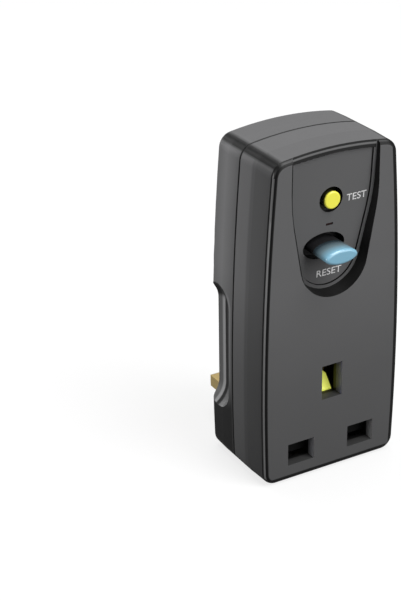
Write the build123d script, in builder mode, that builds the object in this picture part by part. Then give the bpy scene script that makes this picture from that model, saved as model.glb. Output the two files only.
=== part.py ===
from build123d import *
from math import atan, cos, radians, sin, tan
import os

os.makedirs("parts", exist_ok=True)

# All sizes are in millimetres. The case stands on its bottom end, its front looks along -Y,
# and a "depth" is measured backwards from the front face. The origin is the middle of the
# bottom end, halfway between the front face and the face that meets the wall socket.

# Case outline, seen from the front
case_height = 109.3
widest_width = 50.3
widest_height = 32.0
side_radius = 820.0
arch_radius = 112.0
bottom_corner_radius = 4.6
top_corner_radius = 5.0
inner_corner_radius = 0.5

# Case depths and walls
case_depth = 32.0
front_shell_depth = 18.3
front_draft_depth = 9.5
rear_draft_depth = 7.2
draft_angle = 2.0
wall = 2.0
back_wall = 3.0
front_edge_radius = 1.6
rear_edge_radius = 1.5
parting_chamfer = 0.25
lip_length = 1.5
lip_thickness = 0.9
fit_gap = 0.1
overrun = 6.0

# Shield-shaped recess for the control panel
recess_tilt = 4.0
recess_top_height = 107.2
recess_top_depth = 1.2
recess_half_width = 14.95
recess_straight = 10.2
recess_shoulder_half_width = 13.9
recess_shoulder_drop = 21.2
recess_flank_length = 15.2
recess_draft = 10.0
recess_backing = 3.5

# Control panel let into the recess
panel_ledge = 1.1
panel_gap = 0.15
panel_set_down = 0.5
panel_thickness = 1.6
panel_top_margin = 0.6
panel_edge_radius = 0.3

# Test button
test_height = 91.6
test_bore_diameter = 8.2
test_cap_diameter = 5.6
test_cap_proud = 1.0
test_flange_diameter = 9.4
test_flange_thickness = 1.0
test_cap_rounding = 0.5
test_flange_gap = 0.5

# Indicator window
window_height = 83.5
window_width = 2.4
window_slot = 0.6
window_clearance = 0.05
window_foot_width = 3.4
window_foot_height = 1.2
window_face_gap = 0.2

# Reset button
reset_height = 76.65
reset_offset = -1.6
reset_well_half_width = 7.4
reset_well_half_height = 4.3
reset_half_width = 5.6
reset_half_height = 2.4
reset_proud = 6.3
reset_cap_length = 7.4
reset_cap_rounding = 0.9
reset_flange_half_width = 8.6
reset_flange_half_height = 5.0
reset_flange_thickness = 1.2
reset_flange_gap = 0.6

# Socket apertures and the pins behind them
pole_pitch = 22.2
earth_rise = 22.2
socket_line_height = 9.5
pole_aperture_width = 9.6
pole_aperture_height = 7.6
earth_aperture_width = 7.4
earth_aperture_height = 11.8
lead_in_depth = 4.6
collar_wall = 1.6

# Plug pins
pin_line_height = 11.5
pole_pin_width = 6.35
pole_pin_thickness = 4.0
pole_pin_length = 17.7
earth_pin_width = 4.0
earth_pin_height = 8.0
earth_pin_length = 22.7
pin_tip_chamfer = 1.4
sleeve_length = 7.2
sleeve_thickness = 0.5

# Pin platform on the back
platform_height = 3.0
platform_width = 40.8
platform_length = 43.0
platform_corner_radius = 13.0
platform_edge_chamfer = 0.5
groove_width = 2.4
groove_depth = 1.6
groove_length = 19.0

# Finger scoops in the sides of the rear shell
scoop_radius = 8.5
scoop_axis_half_span = 29.5
scoop_axis_depth = 28.0
scoop_low_centre = 24.0
scoop_high_centre = 53.0
scoop_wall = 2.0
scoop_seam_turn = 90.0

# Case screws
lower_screw_half_span = 13.2
lower_screw_height = 30.7
upper_screw_half_span = 13.5
upper_screw_height = 97.5
boss_diameter = 7.0
boss_face_depth = 21.9
pilot_diameter = 3.0
pilot_length = 12.0
screw_tube_diameter = 8.4
screw_tube_face_depth = 22.0
screw_shelf_depth = 24.5
screw_bore_diameter = 4.9
screw_shank_hole = 3.4
screw_shank_diameter = 2.9
screw_shank_reach = 11.0
screw_head_diameter = 4.6
screw_head_height = 2.0
screw_slot_width = 0.8
screw_slot_depth = 0.9

# Shutter behind the apertures
shutter_face_depth = 5.0
shutter_thickness = 1.8
shutter_bar_bottom = 7.15
shutter_bar_height = 4.85
shutter_bar_half_width = 16.3
shutter_stem_half_width = 4.2
shutter_stem_top = 25.4
shutter_ear_reach = 9.0
shutter_ear_height = 2.4
shutter_cam_height = 7.0
shutter_cam_half_width = 3.2
shutter_cam_back_depth = 8.8
shutter_cam_nose = 0.6
shutter_cam_shoulder_x = 2.4
shutter_cam_shoulder_height = 5.1
shutter_spring_diameter = 2.4
shutter_spring_bore = 1.6
shutter_spring_half_span = 7.2
spring_seat_bottom = 13.2
spring_seat_height = 1.0
spring_seat_half_width = 1.8
spring_seat_reach_depth = 7.4

# Socket contacts
contact_thickness = 0.8
contact_width = 6.0
contact_grip = 3.7
contact_face_depth = 9.6
contact_base_depth = 18.2
contact_flare = 0.7
contact_flare_length = 1.6
earth_contact_height = 7.4
earth_contact_base_depth = 23.5
earth_base_height = 10.0

# Copper straps
strap_thickness = 0.8
strap_width = 2.8
strap_offset = 7.0
load_strap_depth = 19.0
feed_strap_depth = 22.4
strap_step_height = 61.0
strap_top_height = 79.0
feed_foot_height = 4.0
feed_neck_bottom = 44.0
feed_neck_top = 58.5
feed_neck_width = 2.0
feed_neck_offset = 1.9
outer_contact_offset = 13.0
feed_leg_top = 46.5
feed_cross_bottom = 56.0

# Current transformer
core_outer_diameter = 11.8
core_bore_diameter = 7.6
core_height = 6.0
core_bottom = 47.5
winding_thickness = 0.5
winding_angle = 90.0
winding_middle_angle = -90.0

# Trip coil
coil_axis_depth = 16.5
coil_bottom = 58.0
coil_length = 9.0
bobbin_flange_half_width = 4.4
bobbin_flange_thickness = 1.0
bobbin_tube_diameter = 5.0
bobbin_bore_diameter = 3.8
coil_outer_diameter = 8.4
yoke_thickness = 1.0
yoke_half_width = 4.5
yoke_hole_diameter = 4.2
trip_plunger_diameter = 3.6
trip_plunger_bottom = 61.0
trip_neck_bottom = 69.6
trip_neck_diameter = 2.0
trip_neck_length = 2.0
trip_head_height = 0.8

# Latch lever
latch_axis_depth = 21.2
latch_axis_height = 70.6
latch_pin_diameter = 1.6
latch_bore_diameter = 1.7
latch_hub_diameter = 3.4
latch_hub_half_width = 3.9
latch_arm_half_width = 3.0
latch_arm_thickness = 1.0
latch_arm_reach_depth = 12.1
latch_nib_length = 1.2
latch_nib_height = 1.4
latch_slot_half_width = 1.4
latch_slot_half_length = 1.9
latch_ear_thickness = 1.2
latch_ear_gap = 0.3
latch_ear_height = 3.2

# Mechanism frame and contact carriage
frame_plate_depth = 23.2
frame_plate_thickness = 1.2
frame_half_width = 15.5
frame_bottom = 57.0
frame_top = 82.0
frame_post_diameter = 4.0
frame_post_half_span = 12.5
frame_post_low = 60.0
frame_post_high = 79.0
frame_pad_half_width = 4.0
frame_pad_bottom = 59.5
frame_pad_height = 7.5
carriage_front_depth = 12.0
carriage_back_depth = 16.6
carriage_half_width = 14.6
carriage_bottom = 74.0
carriage_height = 5.3
tooth_drop = 1.1
tooth_length = 1.6
tooth_half_width = 2.4
moving_bar_half_length = 4.4
moving_bar_height = 3.0
rivet_diameter = 3.0
rivet_height = 0.8
fixed_rivet_height = 1.0
reset_spring_diameter = 5.0
reset_spring_bore = 3.8

# Circuit board and what is soldered to it
board_depth = 13.0
board_thickness = 1.6
board_half_width = 16.5
board_bottom = 82.2
board_top = 103.0
board_hole_clearance = 0.3
board_post_diameter = 4.0
board_post_half_span = 7.5
board_post_height = 101.5
test_spring_diameter = 4.6
test_spring_bore = 3.6
capacitor_width = 11.0
capacitor_height = 8.0
capacitor_depth = 7.0
capacitor_place = (-7.0, 88.0)
varistor_diameter = 8.0
varistor_thickness = 3.5
varistor_place = (6.0, 89.0)
resistor_diameter = 3.2
resistor_length = 9.0
resistor_height = 95.5
chip_width = 9.0
chip_height = 5.0
chip_thickness = 1.8
chip_place = (0.0, 100.0)

# Places that follow from the sizes above
front_y = -(case_depth + platform_height) / 2
tilt_slope = tan(radians(recess_tilt))
socket_earth_height = socket_line_height + earth_rise
pin_earth_height = pin_line_height + earth_rise
platform_face_depth = case_depth + platform_height
inner_back_depth = case_depth - back_wall
board_back_depth = board_depth + board_thickness
load_strap_back_depth = load_strap_depth + strap_thickness
feed_strap_back_depth = feed_strap_depth + strap_thickness
coil_top = coil_bottom + coil_length
scoop_middle = (scoop_low_centre + scoop_high_centre) / 2
screw_places = [
    (-lower_screw_half_span, lower_screw_height),
    (lower_screw_half_span, lower_screw_height),
    (-upper_screw_half_span, upper_screw_height),
    (upper_screw_half_span, upper_screw_height),
]
pole_places = [(-pole_pitch / 2, socket_line_height), (pole_pitch / 2, socket_line_height)]
earth_place = (0, socket_earth_height)
shoulder_narrowing = recess_half_width - recess_shoulder_half_width
flank_lean = 2 * atan(shoulder_narrowing / (recess_shoulder_drop - recess_straight))
recess_plane = Plane(
    origin=(0, front_y + recess_top_depth, recess_top_height),
    x_dir=(1, 0, 0),
    z_dir=(0, -cos(radians(recess_tilt)), -sin(radians(recess_tilt))),
)


def y_at(depth):
    return front_y + depth


def facing(depth):
    return Plane.XZ.offset(-y_at(depth))


def recess_depth(height):
    return recess_top_depth + (recess_top_height - height) * tilt_slope


def panel_depth(height):
    return recess_depth(height) + panel_set_down


def backing_depth(height):
    return recess_depth(height) + recess_backing


def case_outline(inset=0):
    side_centre = side_radius - widest_width / 2
    bottom_radius = max(bottom_corner_radius - inset, inner_corner_radius)
    top_radius = max(top_corner_radius - inset, inner_corner_radius)
    with BuildSketch(mode=Mode.PRIVATE) as outline:
        with Locations((0, inset)):
            Rectangle(widest_width, case_height, align=(Align.CENTER, Align.MIN))
        with Locations((0, case_height - arch_radius)):
            Circle(arch_radius - inset, mode=Mode.INTERSECT)
        for side in (-1, 1):
            with Locations((side * side_centre, widest_height)):
                Circle(side_radius - inset, mode=Mode.INTERSECT)
        fillet(outline.vertices().group_by(Axis.Y)[0], bottom_radius)
        fillet(outline.vertices().group_by(Axis.Y)[-1], top_radius)
    return outline.sketch


def recess_outline(outset=0):
    half_width = recess_half_width + outset
    shoulder_end = (
        recess_shoulder_half_width + outset * cos(flank_lean),
        -recess_shoulder_drop - outset * sin(flank_lean),
    )
    with BuildSketch(mode=Mode.PRIVATE) as outline:
        with BuildLine():
            top = Line((0, overrun), (half_width, overrun))
            side = Line(top @ 1, (half_width, -recess_straight))
            shoulder = TangentArc(side @ 1, shoulder_end, tangent=side % 1)
            flank = Line(shoulder @ 1, shoulder @ 1 + (shoulder % 1) * recess_flank_length)
            mirror(about=Plane.YZ)
            foot = flank @ 1
            TangentArc(foot, (-foot.X, foot.Y), tangent=flank % 1)
        make_face()
    return outline.sketch


def panel_outline(inset, top_drop):
    arch_centre = case_height - arch_radius - recess_top_height
    with BuildSketch(mode=Mode.PRIVATE) as outline:
        add(recess_outline(-inset))
        with Locations((0, arch_centre)):
            Circle(-arch_centre - top_drop, mode=Mode.INTERSECT)
    return outline.sketch


# The outside of each half of the case: the outer part of its depth is drafted
with BuildPart() as front_blank:
    with BuildSketch(facing(front_draft_depth)):
        add(case_outline())
    extrude(amount=front_draft_depth)
    front_sides = faces().filter_by(Axis.Y, reverse=True)
    draft(front_sides, facing(front_draft_depth), draft_angle)
    with BuildSketch(facing(front_draft_depth)):
        add(case_outline())
    extrude(amount=-(front_shell_depth - front_draft_depth))
    fillet(faces().sort_by(Axis.Y)[0].edges(), front_edge_radius)
    chamfer(faces().sort_by(Axis.Y)[-1].edges(), parting_chamfer)

with BuildPart() as rear_blank:
    with BuildSketch(facing(case_depth - rear_draft_depth)):
        add(case_outline())
    extrude(amount=-rear_draft_depth)
    rear_sides = faces().filter_by(Axis.Y, reverse=True)
    draft(rear_sides, facing(case_depth - rear_draft_depth), -draft_angle)
    with BuildSketch(facing(case_depth - rear_draft_depth)):
        add(case_outline())
    extrude(amount=case_depth - rear_draft_depth - front_shell_depth)
    fillet(faces().sort_by(Axis.Y)[-1].edges(), rear_edge_radius)
    chamfer(faces().sort_by(Axis.Y)[0].edges(), parting_chamfer)

# The space that the recess takes out of the front, wider towards the front
with BuildPart() as recess_space:
    with BuildSketch(recess_plane):
        add(recess_outline())
    extrude(amount=overrun)
    recess_axis = Axis(recess_plane.origin, recess_plane.z_dir)
    recess_sides = faces().filter_by(recess_axis, reverse=True)
    draft(recess_sides, recess_plane, -recess_draft)

# The block behind the recess floor, kept inside the outline of the case
with BuildPart() as recess_block:
    with BuildSketch(recess_plane):
        add(recess_outline(wall))
    extrude(amount=-recess_backing)
    with BuildSketch(recess_plane):
        add(recess_outline(wall))
    extrude(amount=overrun)
    add(front_blank.part, mode=Mode.INTERSECT)

# Front cover: a drafted shell with a tilted shield-shaped recess, three socket
# apertures with collars behind them, screw bosses and posts for the board
with BuildPart() as front_cover:
    add(front_blank.part)
    with BuildSketch(facing(front_shell_depth)):
        add(case_outline(wall))
    extrude(amount=front_shell_depth - wall, mode=Mode.SUBTRACT)
    add(recess_block.part)
    with BuildSketch(facing(lead_in_depth)):
        with Locations(*pole_places):
            Rectangle(pole_aperture_width + collar_wall * 2, pole_aperture_height + collar_wall * 2)
        with Locations(earth_place):
            Rectangle(earth_aperture_width + collar_wall * 2, earth_aperture_height + collar_wall * 2)
    extrude(amount=lead_in_depth - wall)
    with BuildSketch(facing(boss_face_depth)):
        with Locations(*screw_places):
            Circle(boss_diameter / 2)
    extrude(amount=boss_face_depth - wall)
    with BuildSketch(facing(board_depth)):
        with Locations((-board_post_half_span, board_post_height), (board_post_half_span, board_post_height)):
            Circle(board_post_diameter / 2)
    extrude(amount=board_depth - wall)
    with BuildSketch(facing(spring_seat_reach_depth)):
        seat_middle = spring_seat_bottom + spring_seat_height / 2
        with Locations((-shutter_spring_half_span, seat_middle), (shutter_spring_half_span, seat_middle)):
            Rectangle(spring_seat_half_width * 2, spring_seat_height)
    extrude(amount=spring_seat_reach_depth - wall)
    add(recess_space.part, mode=Mode.SUBTRACT)
    with BuildSketch(recess_plane):
        add(panel_outline(panel_ledge, panel_top_margin - panel_gap))
    extrude(amount=-(panel_set_down + panel_thickness), mode=Mode.SUBTRACT)
    with BuildSketch(facing(0)):
        with Locations((0, test_height)):
            Circle(test_bore_diameter / 2)
        with Locations((reset_offset, reset_height)):
            Ellipse(reset_well_half_width, reset_well_half_height)
        with Locations((0, window_height)):
            Rectangle(window_width, window_slot)
    extrude(amount=-(backing_depth(reset_height) + overrun / 2), mode=Mode.SUBTRACT)
    with BuildSketch(facing(-overrun)):
        with Locations(*pole_places):
            Rectangle(pole_aperture_width, pole_aperture_height)
        with Locations(earth_place):
            Rectangle(earth_aperture_width, earth_aperture_height)
    extrude(amount=-(overrun + lead_in_depth), mode=Mode.SUBTRACT)
    with BuildSketch(facing(boss_face_depth)):
        with Locations(*screw_places):
            Circle(pilot_diameter / 2)
    extrude(amount=pilot_length, mode=Mode.SUBTRACT)
front_cover.part.label = "front_cover"
export_step(front_cover.part, "parts/front_cover.step")

# Finger scoops: round-ended troughs along both edges of the back
with BuildPart() as scoops:
    with Locations((scoop_axis_half_span, y_at(scoop_axis_depth), scoop_middle)):
        Cylinder(scoop_radius, scoop_high_centre - scoop_low_centre)
    for end_height in (scoop_low_centre, scoop_high_centre):
        with Locations((scoop_axis_half_span, y_at(scoop_axis_depth), end_height)):
            Sphere(scoop_radius)
    mirror(about=Plane.YZ)

# The room inside the rear shell, kept clear of the scoops by one wall
with BuildPart() as rear_hollow:
    with BuildSketch(facing(front_shell_depth)):
        add(case_outline(wall))
    extrude(amount=-(inner_back_depth - front_shell_depth))
    backing_radius = scoop_radius + scoop_wall
    for side in (-1, 1):
        with Locations((side * scoop_axis_half_span, y_at(scoop_axis_depth), scoop_middle)):
            Cylinder(
                backing_radius,
                scoop_high_centre - scoop_low_centre + backing_radius * 2,
                rotation=(0, 0, scoop_seam_turn * (1 - side)),
                mode=Mode.SUBTRACT,
            )

# Rear shell: drafted shell with the pin platform, finger scoops, side grooves,
# a locating lip and deep screw tubes
with BuildPart() as rear_shell:
    add(rear_blank.part)
    add(scoops.part, mode=Mode.SUBTRACT)
    with BuildSketch(facing(case_depth)):
        groove_middle = platform_width / 2 + groove_width / 2
        with Locations((-groove_middle, 0), (groove_middle, 0)):
            SlotOverall(groove_length * 2, groove_width, rotation=90)
    extrude(amount=groove_depth, mode=Mode.SUBTRACT)
    with BuildSketch(facing(case_depth)) as platform_face:
        Rectangle(platform_width, platform_length, align=(Align.CENTER, Align.MIN))
        fillet(platform_face.vertices().group_by(Axis.Y)[-1], platform_corner_radius)
    extrude(amount=-platform_height)
    platform_rim = faces().sort_by(Axis.Y)[-1].edges().sort_by(Axis.Z)[1:]
    chamfer(platform_rim, platform_edge_chamfer)
    add(rear_hollow.part, mode=Mode.SUBTRACT)
    with BuildSketch(facing(front_shell_depth)):
        add(case_outline(wall + fit_gap))
        add(case_outline(wall + fit_gap + lip_thickness), mode=Mode.SUBTRACT)
    extrude(amount=lip_length)
    with BuildSketch(facing(front_shell_depth)):
        add(case_outline(wall))
        add(case_outline(wall + fit_gap + lip_thickness), mode=Mode.SUBTRACT)
    extrude(amount=-lip_length)
    with BuildSketch(facing(screw_tube_face_depth)):
        with Locations(*screw_places):
            Circle(screw_tube_diameter / 2)
    extrude(amount=-(inner_back_depth - screw_tube_face_depth))
    with BuildSketch(facing(platform_face_depth)):
        with Locations(*screw_places):
            Circle(screw_bore_diameter / 2)
    extrude(amount=platform_face_depth - screw_shelf_depth, mode=Mode.SUBTRACT)
    with BuildSketch(facing(screw_shelf_depth)):
        with Locations(*screw_places):
            Circle(screw_shank_hole / 2)
    extrude(amount=overrun, mode=Mode.SUBTRACT)
    with BuildSketch(facing(platform_face_depth)):
        with Locations((-pole_pitch / 2, pin_line_height), (pole_pitch / 2, pin_line_height)):
            Rectangle(pole_pin_width, pole_pin_thickness)
        with Locations((0, pin_earth_height)):
            Rectangle(earth_pin_width, earth_pin_height)
    extrude(amount=platform_height + back_wall, mode=Mode.SUBTRACT)
rear_shell.part.label = "rear_shell"
export_step(rear_shell.part, "parts/rear_shell.step")

# Control panel: a plate that fills the pocket in the recess floor
with BuildPart() as control_panel:
    with BuildSketch(recess_plane.offset(-(panel_set_down + panel_thickness))):
        add(panel_outline(panel_ledge + panel_gap, panel_top_margin))
    extrude(amount=panel_thickness)
    panel_face = faces().sort_by(Axis.Y)[0]
    fillet(panel_face.edges(), panel_edge_radius)
    with BuildSketch(facing(0)):
        with Locations((0, test_height)):
            Circle(test_bore_diameter / 2)
        with Locations((reset_offset, reset_height)):
            Ellipse(reset_well_half_width, reset_well_half_height)
        with Locations((0, window_height)):
            Rectangle(window_width, window_slot)
    extrude(amount=-(backing_depth(reset_height) + overrun), mode=Mode.SUBTRACT)
control_panel.part.label = "control_panel"
export_step(control_panel.part, "parts/control_panel.step")

# Case screws: pan heads with a slot, seated on the shelves in the rear shell
with BuildPart() as case_screws:
    with BuildSketch(facing(screw_shelf_depth)):
        with Locations(*screw_places):
            Circle(screw_head_diameter / 2)
    extrude(amount=-screw_head_height)
    with BuildSketch(facing(screw_shelf_depth)):
        with Locations(*screw_places):
            Circle(screw_shank_diameter / 2)
    extrude(amount=screw_shank_reach)
    with BuildSketch(facing(screw_shelf_depth + screw_head_height)):
        with Locations(*screw_places):
            Rectangle(screw_head_diameter * 2, screw_slot_width)
    extrude(amount=screw_slot_depth, mode=Mode.SUBTRACT)
case_screws.part.label = "case_screws"
export_step(case_screws.part, "parts/case_screws.step")


def pole_pin(centre):
    with BuildPart(mode=Mode.PRIVATE) as pin:
        with BuildSketch(facing(feed_strap_back_depth)):
            with Locations((centre, pin_line_height)):
                Rectangle(pole_pin_width - sleeve_thickness * 2, pole_pin_thickness - sleeve_thickness * 2)
        extrude(amount=-(platform_face_depth + sleeve_length - feed_strap_back_depth))
        with BuildSketch(facing(platform_face_depth + sleeve_length)):
            with Locations((centre, pin_line_height)):
                Rectangle(pole_pin_width, pole_pin_thickness)
        extrude(amount=-(pole_pin_length - sleeve_length))
        chamfer(pin.faces().sort_by(Axis.Y)[-1].edges(), pin_tip_chamfer, pin_tip_chamfer / 2)
    return pin.part


def pin_sleeve(centre):
    with BuildPart(mode=Mode.PRIVATE) as sleeve:
        with BuildSketch(facing(inner_back_depth)):
            with Locations((centre, pin_line_height)):
                Rectangle(pole_pin_width, pole_pin_thickness)
                Rectangle(
                    pole_pin_width - sleeve_thickness * 2,
                    pole_pin_thickness - sleeve_thickness * 2,
                    mode=Mode.SUBTRACT,
                )
        extrude(amount=-(platform_face_depth + sleeve_length - inner_back_depth))
    return sleeve.part


with BuildPart() as line_pin:
    add(pole_pin(pole_pitch / 2))
line_pin.part.label = "line_pin"
export_step(line_pin.part, "parts/line_pin.step")

with BuildPart() as neutral_pin:
    add(pole_pin(-pole_pitch / 2))
neutral_pin.part.label = "neutral_pin"
export_step(neutral_pin.part, "parts/neutral_pin.step")

with BuildPart() as line_sleeve:
    add(pin_sleeve(pole_pitch / 2))
line_sleeve.part.label = "line_sleeve"
export_step(line_sleeve.part, "parts/line_sleeve.step")

with BuildPart() as neutral_sleeve:
    add(pin_sleeve(-pole_pitch / 2))
neutral_sleeve.part.label = "neutral_sleeve"
export_step(neutral_sleeve.part, "parts/neutral_sleeve.step")

# Earth pin: bare for its whole length, riveted to the earth contact
with BuildPart() as earth_pin:
    with BuildSketch(facing(earth_contact_base_depth + contact_thickness)):
        with Locations((0, pin_earth_height)):
            Rectangle(earth_pin_width, earth_pin_height)
    extrude(amount=-(platform_face_depth + earth_pin_length - earth_contact_base_depth - contact_thickness))
    chamfer(faces().sort_by(Axis.Y)[-1].edges(), pin_tip_chamfer, pin_tip_chamfer / 2)
earth_pin.part.label = "earth_pin"
export_step(earth_pin.part, "parts/earth_pin.step")


# A socket contact: two sprung leaves with flared mouths on a base plate, drawn as
# the section across the leaves, with the pin's path along Y
def contact_leaf(side, base_depth):
    inner = side * contact_grip / 2
    outer = inner + side * contact_thickness
    mouth = side * contact_flare
    throat_depth = contact_face_depth + contact_flare_length
    with BuildSketch(mode=Mode.PRIVATE) as leaf:
        with BuildLine():
            Polyline(
                (inner + mouth, y_at(contact_face_depth)),
                (inner, y_at(throat_depth)),
                (inner, y_at(base_depth)),
                (outer, y_at(base_depth)),
                (outer, y_at(throat_depth)),
                (outer + mouth, y_at(contact_face_depth)),
                close=True,
            )
        make_face()
    return leaf.sketch


def pole_contact(centre):
    with BuildPart(mode=Mode.PRIVATE) as contact:
        section = Plane(origin=(centre, 0, socket_line_height), x_dir=(0, 0, 1), z_dir=(-1, 0, 0))
        with BuildSketch(section):
            add(contact_leaf(-1, contact_base_depth))
            add(contact_leaf(1, contact_base_depth))
        extrude(amount=contact_width / 2, both=True)
        with BuildSketch(facing(contact_base_depth)):
            with Locations((centre, socket_line_height)):
                Rectangle(contact_width, contact_grip + contact_thickness * 2)
        extrude(amount=-contact_thickness)
    return contact.part


with BuildPart() as line_contact:
    add(pole_contact(pole_pitch / 2))
line_contact.part.label = "line_contact"
export_step(line_contact.part, "parts/line_contact.step")

with BuildPart() as neutral_contact:
    add(pole_contact(-pole_pitch / 2))
neutral_contact.part.label = "neutral_contact"
export_step(neutral_contact.part, "parts/neutral_contact.step")

with BuildPart() as earth_contact:
    with BuildSketch(Plane.XY.offset(socket_earth_height)):
        add(contact_leaf(-1, earth_contact_base_depth))
        add(contact_leaf(1, earth_contact_base_depth))
    extrude(amount=earth_contact_height / 2, both=True)
    with BuildSketch(facing(earth_contact_base_depth)):
        with Locations((0, socket_earth_height + (earth_base_height - earth_contact_height) / 2)):
            Rectangle(contact_grip + contact_thickness * 2, earth_base_height)
    extrude(amount=-contact_thickness)
earth_contact.part.label = "earth_contact"
export_step(earth_contact.part, "parts/earth_contact.step")


# Load strap: from the back of a socket contact up to the inner fixed contact
def load_strap(side):
    foot_bottom = socket_line_height - contact_grip / 2
    with BuildPart(mode=Mode.PRIVATE) as strap:
        with BuildSketch(Plane.YZ.offset(side * strap_offset)):
            with BuildLine():
                Polyline(
                    (y_at(load_strap_depth), foot_bottom),
                    (y_at(load_strap_back_depth), foot_bottom),
                    (y_at(load_strap_back_depth), strap_step_height),
                    (y_at(feed_strap_back_depth), strap_step_height),
                    (y_at(feed_strap_back_depth), strap_top_height),
                    (y_at(feed_strap_depth), strap_top_height),
                    (y_at(feed_strap_depth), strap_step_height + strap_thickness),
                    (y_at(load_strap_depth), strap_step_height + strap_thickness),
                    close=True,
                )
            make_face()
        extrude(amount=strap_width / 2, both=True)
        with BuildSketch(facing(load_strap_depth)):
            with Locations((side * pole_pitch / 2, socket_line_height)):
                Rectangle(contact_width, contact_grip)
        extrude(amount=-strap_thickness)
        with BuildSketch(facing(feed_strap_depth)):
            with Locations((side * strap_offset, reset_height)):
                Circle(rivet_diameter / 2)
        extrude(amount=fixed_rivet_height)
    return strap.part


# Feed strap: from the root of a plug pin through the transformer to the outer fixed contact
def feed_strap(side):
    leg_inner = strap_offset - strap_width / 2
    leg_outer = strap_offset + strap_width / 2
    neck_inner = feed_neck_offset - feed_neck_width / 2
    neck_outer = feed_neck_offset + feed_neck_width / 2
    arm_inner = outer_contact_offset - strap_width / 2
    arm_outer = outer_contact_offset + strap_width / 2
    foot_bottom = pin_line_height - feed_foot_height / 2
    foot_top = pin_line_height + feed_foot_height / 2
    foot_outer = pole_pitch / 2 + pole_pin_width / 2
    with BuildPart(mode=Mode.PRIVATE) as strap:
        with BuildSketch(facing(feed_strap_depth)):
            with BuildLine():
                Polyline(
                    (side * leg_inner, foot_bottom),
                    (side * foot_outer, foot_bottom),
                    (side * foot_outer, foot_top),
                    (side * leg_outer, foot_top),
                    (side * leg_outer, feed_leg_top),
                    (side * neck_outer, feed_leg_top),
                    (side * neck_outer, feed_cross_bottom),
                    (side * arm_outer, feed_cross_bottom),
                    (side * arm_outer, strap_top_height),
                    (side * arm_inner, strap_top_height),
                    (side * arm_inner, feed_neck_top),
                    (side * neck_inner, feed_neck_top),
                    (side * neck_inner, feed_neck_bottom),
                    (side * leg_inner, feed_neck_bottom),
                    close=True,
                )
            make_face()
        extrude(amount=-strap_thickness)
        with BuildSketch(facing(feed_strap_depth)):
            with Locations((side * outer_contact_offset, reset_height)):
                Circle(rivet_diameter / 2)
        extrude(amount=fixed_rivet_height)
    return strap.part


with BuildPart() as line_load_strap:
    add(load_strap(1))
line_load_strap.part.label = "line_load_strap"
export_step(line_load_strap.part, "parts/line_load_strap.step")

with BuildPart() as neutral_load_strap:
    add(load_strap(-1))
neutral_load_strap.part.label = "neutral_load_strap"
export_step(neutral_load_strap.part, "parts/neutral_load_strap.step")

with BuildPart() as line_feed_strap:
    add(feed_strap(1))
line_feed_strap.part.label = "line_feed_strap"
export_step(line_feed_strap.part, "parts/line_feed_strap.step")

with BuildPart() as neutral_feed_strap:
    add(feed_strap(-1))
neutral_feed_strap.part.label = "neutral_feed_strap"
export_step(neutral_feed_strap.part, "parts/neutral_feed_strap.step")

# Shutter: a crossbar over the two pole apertures on a stem with two spring ears
with BuildPart() as shutter:
    shutter_bar_top = shutter_bar_bottom + shutter_bar_height
    with BuildSketch(facing(shutter_face_depth)):
        with Locations((0, shutter_bar_bottom)):
            Rectangle(shutter_bar_half_width * 2, shutter_bar_height, align=(Align.CENTER, Align.MIN))
            Rectangle(
                shutter_stem_half_width * 2,
                shutter_stem_top - shutter_bar_bottom,
                align=(Align.CENTER, Align.MIN),
            )
        with Locations((0, shutter_stem_top)):
            Rectangle(shutter_ear_reach * 2, shutter_ear_height, align=(Align.CENTER, Align.MAX))
    extrude(amount=-shutter_thickness)
shutter.part.label = "shutter"
export_step(shutter.part, "parts/shutter.step")

# Shutter cam: the ramp in the earth aperture that the long earth pin pushes down
with BuildPart() as shutter_cam:
    with BuildSketch(Plane.YZ):
        with BuildLine():
            Polyline(
                (y_at(shutter_face_depth), shutter_stem_top),
                (y_at(shutter_cam_back_depth), shutter_stem_top),
                (y_at(shutter_cam_back_depth), shutter_stem_top + shutter_cam_height),
                (y_at(shutter_cam_back_depth - shutter_cam_nose), shutter_stem_top + shutter_cam_height),
                (y_at(shutter_face_depth), shutter_stem_top + shutter_cam_nose),
                close=True,
            )
        make_face()
    extrude(amount=shutter_cam_half_width, both=True)
    # The right shoulder of the ramp is cut lower, so it shows as a narrow triangle
    with BuildSketch(facing(shutter_face_depth)):
        with BuildLine():
            Polyline(
                (-shutter_cam_half_width, shutter_stem_top),
                (shutter_cam_half_width, shutter_stem_top),
                (shutter_cam_shoulder_x, shutter_stem_top + shutter_cam_shoulder_height),
                (-shutter_cam_half_width, shutter_stem_top + shutter_cam_height),
                close=True,
            )
        make_face()
    extrude(amount=shutter_face_depth - shutter_cam_back_depth, mode=Mode.INTERSECT)
shutter_cam.part.label = "shutter_cam"
export_step(shutter_cam.part, "parts/shutter_cam.step")

# Shutter springs: one under each ear, standing on the ledges of the front cover
with BuildPart() as shutter_springs:
    spring_seat_top = spring_seat_bottom + spring_seat_height
    shutter_spring_length = shutter_stem_top - shutter_ear_height - spring_seat_top
    spring_y = y_at(shutter_face_depth + shutter_thickness / 2)
    with BuildSketch(Plane.XY.offset(spring_seat_top)):
        with Locations((-shutter_spring_half_span, spring_y), (shutter_spring_half_span, spring_y)):
            Circle(shutter_spring_diameter / 2)
            Circle(shutter_spring_bore / 2, mode=Mode.SUBTRACT)
    extrude(amount=shutter_spring_length)
shutter_springs.part.label = "shutter_springs"
export_step(shutter_springs.part, "parts/shutter_springs.step")

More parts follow.
